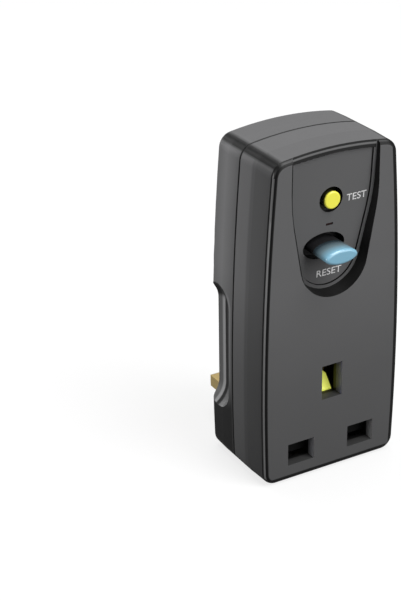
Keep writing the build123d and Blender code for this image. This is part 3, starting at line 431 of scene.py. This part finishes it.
def paintRecessShade(paint, spot, colour):
    look = recessShadeLook
    outward = spot.x * spot.across + (spot.z - look["middle"]) * spot.up
    wall = paint.above(spot.z, *look["above"]) * paint.below(outward, *look["inward"])
    return paint.blend(wall * paint.above(spot.back, *look["steep"]), colour, shadowColour)


# The walls of the three apertures, with painted light and shade: a painted pale light at the
# mouth, painted shade on the sill, and painted black shade within. Nothing keeps this to the front
# cover, so the middle of the rear shell turns black too.
mouthShadeLook = {
    "below": (50 * mm, 1 * mm), "above": (3 * mm, 1 * mm), "within": (17 * mm, 1 * mm),
    "steep": (-0.4, 0.1), "depth": (0.12 * mm, 0.1 * mm), "deep": (3.2 * mm, 0.3 * mm),
    "upward": (0.5, 0.2), "earth": (6 * mm, 1 * mm), "poleLitColour": (0.24, 0.24, 0.243, 1),
    "earthLitColour": (0.15, 0.15, 0.22, 1), "sillShadeColour": (0.04, 0.04, 0.04, 1),
    "deepShadeColour": (0.006, 0.006, 0.006, 1),
}


def paintMouthShade(paint, spot, colour):
    look = mouthShadeLook
    mouth = paint.below(spot.z, *look["below"]) * paint.above(spot.z, *look["above"])
    mouth = mouth * paint.below(spot.aside, *look["within"])
    mouth = mouth * paint.above(spot.back, *look["steep"])
    mouth = mouth * paint.above(spot.depth, *look["depth"])
    earth = paint.below(spot.aside, *look["earth"])
    wall = paint.blend(earth, look["poleLitColour"], look["earthLitColour"])
    wall = paint.blend(paint.above(spot.up, *look["upward"]), wall, look["sillShadeColour"])
    wall = paint.blend(paint.above(spot.depth, *look["deep"]), wall, look["deepShadeColour"])
    return paint.blend(mouth, colour, wall)


# The dark line where the two shells meet
partingLook = {"half": (0.42 * mm, 0.08 * mm)}


def paintParting(paint, spot, colour):
    line = paint.below(paint.size(spot.y - partingY), *partingLook["half"])
    return paint.blend(line, colour, lineColour)


caseSteps = (paintEdgeReflections, paintSideShade, paintSoleShade, paintBorderShade, paintLipShadow, paintScoopLight, paintStripReflection,
             paintCornerShade, paintRecessShade, paintMouthShade, paintParting)
for node in ("front_cover", "rear_shell"):
    paint = Paint(node.replace("_", " "))
    colour = driftColour(paint, casePlastic)
    spot = Spot(paint)
    for step in caseSteps:
        colour = step(paint, spot, colour)
    wear(node, plasticSkin(paint, casePlastic, colour))

# The panel: the same plastic, with painted black shade on its edges and walls and in the slot in
# front of the indicator
panelShadeLook = {"slotHeight": 83.5 * mm, "slotHalf": (0.36 * mm, 0.1 * mm),
             "slotReach": (1.28 * mm, 0.1 * mm), "edge": (0.9, 0.06)}
paint = Paint("control panel")
colour = driftColour(paint, panelPlastic)
spot = Spot(paint)
slot = paint.below(paint.size(spot.z - panelShadeLook["slotHeight"]), *panelShadeLook["slotHalf"])
slot = slot * paint.below(spot.aside, *panelShadeLook["slotReach"])
colour = paint.blend(slot, colour, lineColour)
colour = paint.blend(paint.below(spot.ahead, *panelShadeLook["edge"]), colour, lineColour)
wear("control_panel", plasticSkin(paint, panelPlastic, colour))
for node, look in (
    ("line_sleeve", blackPlastic), ("neutral_sleeve", blackPlastic),
    ("reset_plunger", blackPlastic), ("shutter", shutterPlastic),
    ("contact_carriage", framePlastic), ("mechanism_frame", framePlastic),
    ("coil_bobbin", framePlastic),
):
    wear(node, mouldedPlastic(node.replace("_", " "), look))
print("moulded plastics done")


# Metal drawn or rolled along one axis, with fine lines and faint tarnish
def drawnMetal(name, look):
    paint = Paint(name)
    lines = paint.noise(look["lineSize"], 3, look["lineStretch"])
    tarnish = paint.noise(look["tarnishSize"], 4)
    bright = (look["brightTo"], look["colour"])
    dull = (look["dullFrom"], shade(look["colour"], look["tarnish"])[:3])
    colour = paint.node("ValToRGB", {"stops": [bright, dull]}, {"Fac": tarnish})
    rough = look["rough"] + (lines - 0.5) * look["lineGloss"]
    normal = paint.relief(lines, look["lineDepth"])
    return paint.finish(colour=colour, rough=rough, metal=look["metal"], normal=normal)


plainMetal = {"metal": 1.0, "lineSize": 0.12 * mm, "lineDepth": 0.002 * mm, "lineGloss": 0.16,
              "brightTo": 0.35, "dullFrom": 0.8}
pinMetal = {
    **plainMetal, "metal": 0.85, "lineDepth": 0.0004 * mm, "lineGloss": 0.05,
    "colour": (1.0, 0.76, 0.33), "rough": 0.3, "tarnish": 0.94, "tarnishSize": 6 * mm,
    "lineStretch": (1, 0.04, 1),
}
contactMetal = {
    **plainMetal, "lineSize": 0.1 * mm, "lineStretch": (1, 0.08, 1),
    "colour": (0.78, 0.57, 0.27), "rough": 0.33, "tarnish": 0.8, "tarnishSize": 2 * mm,
}
strapMetal = {
    **plainMetal, "lineStretch": (1, 1, 0.05),
    "colour": (0.82, 0.43, 0.26), "rough": 0.36, "tarnish": 0.72, "tarnishSize": 4 * mm,
}
steelMetal = {
    **plainMetal, "lineStretch": (0.08, 1, 1),
    "colour": (0.46, 0.46, 0.47), "rough": 0.34, "tarnish": 0.85, "tarnishSize": 2.5 * mm,
}
zincMetal = {
    **plainMetal, "lineSize": 0.2 * mm, "lineStretch": (1, 1, 1),
    "colour": (0.62, 0.63, 0.66), "rough": 0.3, "tarnish": 0.82, "tarnishSize": 1.2 * mm,
}
for node, look in (
    ("line_pin", pinMetal), ("neutral_pin", pinMetal), ("earth_pin", pinMetal),
    ("line_contact", contactMetal), ("neutral_contact", contactMetal),
    ("earth_contact", contactMetal), ("moving_contacts", contactMetal),
    ("line_load_strap", strapMetal), ("neutral_load_strap", strapMetal),
    ("line_feed_strap", strapMetal), ("neutral_feed_strap", strapMetal),
    ("latch_lever", steelMetal), ("latch_pin", steelMetal), ("coil_yoke", steelMetal),
    ("trip_plunger", steelMetal), ("case_screws", zincMetal),
):
    wear(node, drawnMetal(node.replace("_", " "), look))
print("metals done")

# Test button: bright yellow and glossy, with painted shade on its skirt and a painted grey
# reflection on its flange's left edge
testLook = {
    "face": (0.84, 0.8, 0.085, 1), "skirtShade": (0.03, 0.03, 0.012, 1), "edge": (0.4, 0.4, 0.4, 1),
    "skirtFrom": 0.35 * mm, "skirtTo": 0.75 * mm, "edgeFrom": (3.1 * mm, 0.4 * mm),
    "size": 0.5 * mm, "detail": 2, "depth": 0.003 * mm, "rough": 0.21, "glossDrift": 0.06,
}
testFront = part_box("test_button")[0].y
paint = Paint("test button")
fade = paint.along("Y", testFront + testLook["skirtFrom"], testFront + testLook["skirtTo"])
colour = paint.blend(fade, testLook["face"], testLook["skirtShade"])
leftward = 0 - paint.parts(paint.place())[0]
colour = paint.blend(paint.above(leftward, *testLook["edgeFrom"]), colour, testLook["edge"])
wear("test_button", paint.skin(testLook, colour=colour))

# Reset button: sky blue, glossy, darker towards its black plunger
resetLook = {
    "tones": [(0.0, (0.2, 0.41, 0.54)), (0.14, (0.2, 0.41, 0.54)), (0.5, (0.13, 0.2, 0.235)),
              (0.9, (0.015, 0.03, 0.04))],
    "size": 1.6 * mm, "detail": 3, "depth": 0.004 * mm, "rough": 0.2, "glossDrift": 0.08,
    "coat": 0.35, "coatRough": 0.12,
}
resetLow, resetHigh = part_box("reset_cap")
paint = Paint("reset button")
inward = paint.along("Y", resetLow.y, resetHigh.y)
colour = paint.node("ValToRGB", {"stops": resetLook["tones"]}, {"Fac": inward})
wear("reset_cap", paint.skin(
    resetLook, colour=colour, coat=resetLook["coat"], coatRough=resetLook["coatRough"],
))

# Shutter cam: bright yellow with faint rub marks down the ramp, and a painted glow that keeps it
# bright in the aperture's shade
glowingCamLook = {
    "first": (0.86, 0.9, 0.16, 1), "second": (0.76, 0.8, 0.1, 1), "size": 0.5 * mm, "detail": 3,
    "stretch": (1, 1, 0.12), "depth": 0.004 * mm, "rough": 0.32, "glossDrift": 0.16, "glow": 0.36,
}
wear("shutter_cam", Paint("shutter cam").skin(glowingCamLook, glowStrength=glowingCamLook["glow"]))

# Indicator window: smoked, almost black when it is off
windowLook = {
    "first": (0.012, 0.006, 0.006, 1), "second": (0.03, 0.01, 0.01, 1), "size": 0.6 * mm,
    "detail": 2, "depth": 0.002 * mm, "rough": 0.5, "glossDrift": 0.1, "specular": 0.15,
}
windowPaint = Paint("indicator window")
wear("indicator_window", windowPaint.skin(windowLook, specular=windowLook["specular"]))
print("buttons, cam and window done")


# Enamelled wire wound in layers round an axis: ridges of the turns, tone in patches
def woundWire(name, look):
    paint = Paint(name)
    settings = {"wave_type": "BANDS", "bands_direction": look["across"]}
    sockets = {"Vector": paint.place(), "Scale": look["ridges"], "Distortion": look["wobble"],
               "Detail": 1.0, "Detail Scale": look["wobbleScale"]}
    turn = paint.node("TexWave", settings, sockets, "Fac")
    patch = paint.noise(look["patchSize"], 3)
    colour = paint.blend(patch, look["dark"], look["light"])
    rough = look["rough"] + turn * look["glossDrift"]
    normal = paint.relief(turn, look["wire"])
    return paint.finish(colour=colour, rough=rough, metal=look["metal"], normal=normal)


enamel = {"wobble": 0.6, "wobbleScale": 60.0, "patchSize": 1.5 * mm, "metal": 0.75,
          "rough": 0.26, "glossDrift": 0.12}
coilLook = {**enamel, "across": "Z", "ridges": 420.0, "wire": 0.12 * mm,
            "dark": (0.32, 0.1, 0.035, 1), "light": (0.62, 0.25, 0.09, 1)}
senseLook = {**enamel, "across": "X", "ridges": 330.0, "wire": 0.14 * mm,
             "dark": (0.42, 0.16, 0.05, 1), "light": (0.68, 0.32, 0.12, 1)}
wear("coil_winding", woundWire("coil winding", coilLook))
wear("sensing_winding", woundWire("sensing winding", senseLook))

# Sintered ring core
coreLook = {
    "dark": (0.03, 0.03, 0.032, 1), "light": (0.075, 0.075, 0.08, 1), "grainSize": 0.18 * mm,
    "pitScale": 2600.0, "pitDepth": 0.01 * mm, "rough": 0.5, "glossDrift": 0.25,
}
paint = Paint("transformer core")
sinter = paint.noise(coreLook["grainSize"], 4)
sockets = {"Vector": paint.place(), "Scale": coreLook["pitScale"]}
pits = paint.node("TexVoronoi", {}, sockets, "Distance")
wear("transformer_core", paint.finish(
    colour=paint.blend(sinter, coreLook["dark"], coreLook["light"]),
    rough=coreLook["rough"] + sinter * coreLook["glossDrift"],
    normal=paint.relief(pits, coreLook["pitDepth"]),
))

# Circuit board: green lacquer over copper runs
boardLook = {
    "run": (0.02, 0.17, 0.07, 1), "gap": (0.06, 0.33, 0.14, 1), "runScale": 260.0,
    "gapShare": 0.06, "gapSoft": 0.1, "runDepth": 0.03 * mm, "weaveSize": 0.3 * mm,
    "rough": 0.28, "glossDrift": 0.12,
}
paint = Paint("circuit board")
sockets = {"Vector": paint.place(), "Scale": boardLook["runScale"],
           "Mortar Size": boardLook["gapShare"], "Mortar Smooth": boardLook["gapSoft"]}
run = paint.node("TexBrick", {"offset": 0.5, "squash": 1.0}, sockets, "Fac")
weave = paint.noise(boardLook["weaveSize"])
wear("circuit_board", paint.finish(
    colour=paint.blend(run, boardLook["run"], boardLook["gap"]),
    rough=boardLook["rough"] + weave * boardLook["glossDrift"],
    normal=paint.relief(run, boardLook["runDepth"]),
))

# Parts on the board: dipped, boxed and banded
dipped = {"detail": 3, "depth": 0.03 * mm, "glossDrift": 0.1}
partLooks = {
    "capacitor": {**dipped, "first": (0.45, 0.11, 0.035, 1), "second": (0.55, 0.16, 0.05, 1),
                  "rough": 0.22, "size": 1.2 * mm},
    "varistor": {**dipped, "first": (0.03, 0.11, 0.38, 1), "second": (0.05, 0.16, 0.48, 1),
                 "rough": 0.24, "size": 0.8 * mm},
    "control_chip": {**dipped, "first": (0.014, 0.014, 0.015, 1), "rough": 0.46,
                     "second": (0.03, 0.03, 0.032, 1), "size": 0.2 * mm},
}
for node, look in partLooks.items():
    wear(node, Paint(node.replace("_", " ")).skin(look))

coat = (0.55, 0.45, 0.3)
resistorLook = {
    "bands": [(0.0, coat), (0.16, (0.3, 0.12, 0.03)), (0.26, coat), (0.36, (0.01, 0.01, 0.01)),
              (0.46, coat), (0.56, (0.5, 0.16, 0.02)), (0.66, coat), (0.8, (0.6, 0.45, 0.1)),
              (0.9, coat)],
    "size": 0.7 * mm, "detail": 2, "depth": 0.01 * mm, "rough": 0.35, "glossDrift": 0.1,
}
resistorLow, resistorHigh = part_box("test_resistor")
paint = Paint("test resistor")
length = paint.along("X", resistorLow.x, resistorHigh.x)
settings = {"stops": resistorLook["bands"], "between": "CONSTANT"}
colour = paint.node("ValToRGB", settings, {"Fac": length})
wear("test_resistor", paint.skin(resistorLook, colour=colour))
print("electrical pieces done")

steelLook = {
    "dark": (0.4, 0.4, 0.41, 1), "light": (0.56, 0.56, 0.58, 1), "drawnSize": 0.1 * mm,
    "drawnDepth": 0.002 * mm, "patinaSize": 1.1 * mm, "rough": 0.24, "glossDrift": 0.14,
}
paint = Paint("spring steel")
drawn = paint.noise(steelLook["drawnSize"])
patina = paint.noise(steelLook["patinaSize"], 3)
springSteel = paint.finish(
    colour=paint.blend(patina, steelLook["dark"], steelLook["light"]),
    rough=steelLook["rough"] + patina * steelLook["glossDrift"], metal=1.0,
    normal=paint.relief(drawn, steelLook["drawnDepth"]),
)


# A compression spring of round wire. The middle turns rise faster than the whole, so that
# the end turns lie closed up.
springBuild = {"pointsPerTurn": 10, "middleRise": 1.25, "roundness": 3, "smoothness": 3}


def coilSpring(name, look, base, top):
    axis = (top - base).normalized()
    side = Vector((1, 0, 0))
    other = axis.cross(side)
    radius = look["wire"] / 2
    ring = look["diameter"] / 2 - radius
    inner = (top - base).length - look["wire"]
    curve = bpy.data.curves.new(name, "CURVE")
    curve.dimensions = "3D"
    curve.bevel_depth = radius
    curve.bevel_resolution = springBuild["roundness"]
    curve.resolution_u = springBuild["smoothness"]
    spline = curve.splines.new("NURBS")
    steps = look["turns"] * springBuild["pointsPerTurn"]
    spline.points.add(steps)
    evenShare = 0.5 / look["turns"]
    for step in range(steps + 1):
        share = step / steps
        rise = min(max(0.5 + (share - 0.5) * springBuild["middleRise"], 0.0), 1.0)
        rise = rise * (1 - evenShare) + share * evenShare
        turn = share * look["turns"] * 2 * math.pi
        point = base + axis * (radius + inner * rise)
        point += (side * math.cos(turn) + other * math.sin(turn)) * ring
        spline.points[step].co = (*point, 1)
    spline.order_u = 4
    spline.use_endpoint_u = True
    made = bpy.data.objects.new(name, curve)
    bpy.context.scene.collection.objects.link(made)
    mesh = bpy.data.meshes.new_from_object(made)
    bpy.data.objects.remove(made)
    made = bpy.data.objects.new(name, mesh)
    bpy.context.scene.collection.objects.link(made)
    for face in mesh.polygons:
        face.use_smooth = True
    mesh.materials.clear()
    mesh.materials.append(springSteel)
    return made


testSpring = {"diameter": 4.6 * mm, "wire": 0.4 * mm, "turns": 5}
resetSpring = {"diameter": 5.0 * mm, "wire": 0.5 * mm, "turns": 5}
shutterSpring = {"diameter": 2.4 * mm, "wire": 0.3 * mm, "turns": 8}

low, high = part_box("test_spring")
centre = (low + high) / 2
spring = coilSpring("testSpringWire", testSpring,
                    Vector((centre.x, high.y, centre.z)), Vector((centre.x, low.y, centre.z)))
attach(spring, "case")
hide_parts("test_spring")
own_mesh(spring)

low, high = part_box("reset_spring")
centre = (low + high) / 2
spring = coilSpring("resetSpringWire", resetSpring,
                    Vector((centre.x, high.y, centre.z)), Vector((centre.x, low.y, centre.z)))
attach(spring, "case")
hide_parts("reset_spring")
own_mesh(spring)

low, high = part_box("shutter_springs")
centre = (low + high) / 2
offset = high.x - shutterSpring["diameter"] / 2
for side, word in ((-1, "Left"), (1, "Right")):
    spring = coilSpring("shutterSpring" + word, shutterSpring,
                        Vector((side * offset, centre.y, low.z)),
                        Vector((side * offset, centre.y, high.z)))
    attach(spring, "case")
    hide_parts("shutter_springs")
    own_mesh(spring)
print("springs done")

# The words by the two buttons, printed in white on the tilted panel
inkLook = {"first": (0.64, 0.64, 0.64, 1), "second": (0.76, 0.76, 0.76, 1), "size": 0.12 * mm,
           "detail": 3, "depth": 0.004 * mm, "rough": 0.5, "glossDrift": 0.1}
legend = {"tilt": math.radians(4.0), "capHeight": 2.25 * mm, "film": 0.03 * mm,
          "testPlace": (5.6 * mm, 89.75 * mm), "testWidth": 7.1 * mm,
          "resetPlace": (-3.5 * mm, 66.15 * mm), "resetWidth": 8.9 * mm}
printedWhite = Paint("printed white").skin(inkLook)
panelLow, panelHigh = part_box("control_panel")


def panelY(height):
    return panelLow.y + (panelHigh.z - height) * math.tan(legend["tilt"])


def printWord(name, word, place, width):
    text = bpy.data.curves.new(name, "FONT")
    text.body = word
    made = bpy.data.objects.new(name, text)
    bpy.context.scene.collection.objects.link(made)
    bpy.context.view_layer.update()
    mesh = bpy.data.meshes.new_from_object(made)
    bpy.data.objects.remove(made)
    xs = [vertex.co.x for vertex in mesh.vertices]
    ys = [vertex.co.y for vertex in mesh.vertices]
    scaleX = width / (max(xs) - min(xs))
    scaleY = legend["capHeight"] / (max(ys) - min(ys))
    left, height = place
    turn = Matrix.Rotation(math.pi / 2 + legend["tilt"], 4, "X")
    start = Vector((left, panelY(height) - legend["film"], height))
    mesh.transform(Matrix.Translation((-min(xs), -min(ys), 0)))
    mesh.transform(Matrix.Translation(start) @ turn @ Matrix.Diagonal((scaleX, scaleY, 1, 1)))
    made = bpy.data.objects.new(name, mesh)
    bpy.context.scene.collection.objects.link(made)
    mesh.materials.clear()
    mesh.materials.append(printedWhite)
    film = made.modifiers.new("film", "SOLIDIFY")
    film.thickness = legend["film"]
    film.offset = 0
    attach(made, "case")


printWord("testWord", "TEST", legend["testPlace"], legend["testWidth"])
printWord("resetWord", "RESET", legend["resetPlace"], legend["resetWidth"])
print("printed words done")

# Floor: a pale sheet that shows white to the camera, keeps the object's soft shadow and
# turns plain white away from the object
white = (1, 1, 1, 1)
floorLook = {"size": 16.0, "below": 0.02 * mm, "whiteShare": 0.76, "colour": (0.8, 0.8, 0.8, 1),
             "bounceColour": (0.1, 0.1, 0.1, 1), "glossyShare": 0.12, "fade": (0.75, 0.7)}
floorMesh = bpy.data.meshes.new("floor")
half = floorLook["size"] / 2
corners = [(-half, -half, 0), (half, -half, 0), (half, half, 0), (-half, half, 0)]
floorMesh.from_pydata(corners, [], [(0, 1, 2, 3)])
floor = bpy.data.objects.new("floor", floorMesh)
floor.location.z = -floorLook["below"]
bpy.context.scene.collection.objects.link(floor)
paint = Paint("floor")
mirrored = paint.node("LightPath", output="Is Glossy Ray") * floorLook["glossyShare"]
seen = paint.node("LightPath", output="Is Camera Ray") + mirrored
glow = paint.node("Emission", {}, {"Color": white, "Strength": 1.0})
matt = paint.node("BsdfDiffuse", {}, {"Color": floorLook["colour"]})
dim = paint.node("BsdfDiffuse", {}, {"Color": floorLook["bounceColour"]})
far = paint.above(paint.distance(*paint.parts(paint.place())[:2]), *floorLook["fade"])
plain = floorLook["whiteShare"] + far * (1 - floorLook["whiteShare"])
sheet = paint.node("MixShader", {}, {0: plain, 1: matt, 2: glow})
paint.close(paint.node("MixShader", {}, {0: seen, 1: dim, 2: sheet}))
floorMesh.materials.append(paint.owner)

# World: white behind the object, an even soft light on it, a little more in reflections
worldLook = {"ambient": 0.22, "mirrorLight": 0.15}
world = bpy.data.worlds.new("studio")
bpy.context.scene.world = world
paint = Paint("studio", world)
strength = paint.node("LightPath", output="Is Glossy Ray") * worldLook["mirrorLight"]
strength = strength + worldLook["ambient"]
around = paint.node("Background", {}, {"Color": white, "Strength": strength})
behind = paint.node("Background", {}, {"Color": white, "Strength": 1.0})
seen = paint.node("LightPath", output="Is Camera Ray")
paint.close(paint.node("MixShader", {}, {0: seen, 1: around, 2: behind}), "OutputWorld")

# Soft lamps: places and sizes in metres, powers in watts
lamps = {
    "key": {"place": (0.32, -0.55, 1.15), "power": 11.0, "size": 0.75},
    "top": {"place": (0.05, 0.35, 1.3), "power": 8.8, "size": 0.9},
    "rim": {"place": (-1.1, -0.08, 0.33), "power": 5.8, "size": 0.6},
    "fill": {"place": (0.57, -1.07, 0.6), "power": 12.4, "size": 1.15},
    "back": {"place": (-0.2, 1.2, 0.3), "power": 3.0, "size": 0.55},
}
target = Vector((0, 0, 0.055))
for name, look in lamps.items():
    disc = bpy.data.lights.new(name, "AREA")
    disc.shape = "DISK"
    disc.energy = look["power"]
    disc.size = look["size"]
    lamp = bpy.data.objects.new(name, disc)
    bpy.context.scene.collection.objects.link(lamp)
    lamp.location = look["place"]
    lamp.rotation_euler = (target - Vector(look["place"])).to_track_quat("-Z", "Y").to_euler()

# Camera: the photograph's viewing angle, worked out from the pins and apertures. The place
# is in millimetres, the angles are in radians.
shot = {"place": (-245.395, -375.137, 272.573), "yaw": 0.508, "pitch": -0.457, "roll": -0.017,
        "focalPixels": 1589.3, "longSidePixels": 601, "sensor": 36.0, "nearest": 0.01,
        "farthest": 20}
lens = bpy.data.cameras.new("camera")
lens.sensor_width = shot["sensor"]
lens.lens = shot["focalPixels"] * shot["sensor"] / shot["longSidePixels"]
lens.clip_start = shot["nearest"]
lens.clip_end = shot["farthest"]
camera = bpy.data.objects.new("camera", lens)
bpy.context.scene.collection.objects.link(camera)
sinYaw, cosYaw = math.sin(shot["yaw"]), math.cos(shot["yaw"])
sinPitch, cosPitch = math.sin(shot["pitch"]), math.cos(shot["pitch"])
ahead = Vector((sinYaw * cosPitch, cosYaw * cosPitch, sinPitch))
across = Vector((cosYaw, -sinYaw, 0))
above = across.cross(ahead)
sinRoll, cosRoll = math.sin(shot["roll"]), math.cos(shot["roll"])
right = across * cosRoll + above * sinRoll
up = above * cosRoll - across * sinRoll
turn = Matrix((right, up, -ahead)).transposed().to_4x4()
camera.matrix_world = Matrix.Translation(Vector(shot["place"]) * mm) @ turn
bpy.context.scene.camera = camera
bpy.context.scene.view_settings.view_transform = "Standard"
print("floor, light and camera done")

bpy.context.view_layer.update()
